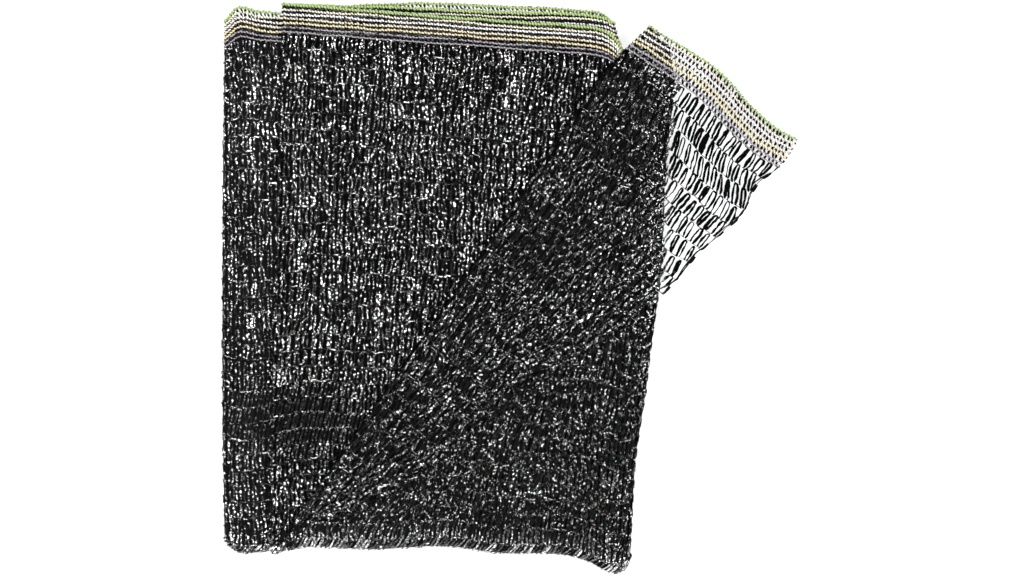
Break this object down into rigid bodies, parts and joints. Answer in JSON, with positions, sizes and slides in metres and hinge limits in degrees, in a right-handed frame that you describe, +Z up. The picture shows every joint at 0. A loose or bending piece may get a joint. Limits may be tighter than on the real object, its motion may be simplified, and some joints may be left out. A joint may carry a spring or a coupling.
{
  "type": "folded shade cloth",
  "caption": "Black knitted net shade cloth with a striped coloured edge, folded into a flat stack, with one corner laid out beside it as a see-through flap.",
  "frame": {"origin": "on the ground, under the middle of the whole outline", "axes": "+Z up through the layers, +Y towards the coloured edge, +X towards the flap"},
  "size_m": [0.4544, 0.4488, 0.0164],
  "materials": {
    "knitted_net": "black knitted polyethylene tape, slightly shiny"
  },
  "bodies": {
    "root": {"shade_cloth": "knitted_net"}
  },
  "joints": []
}
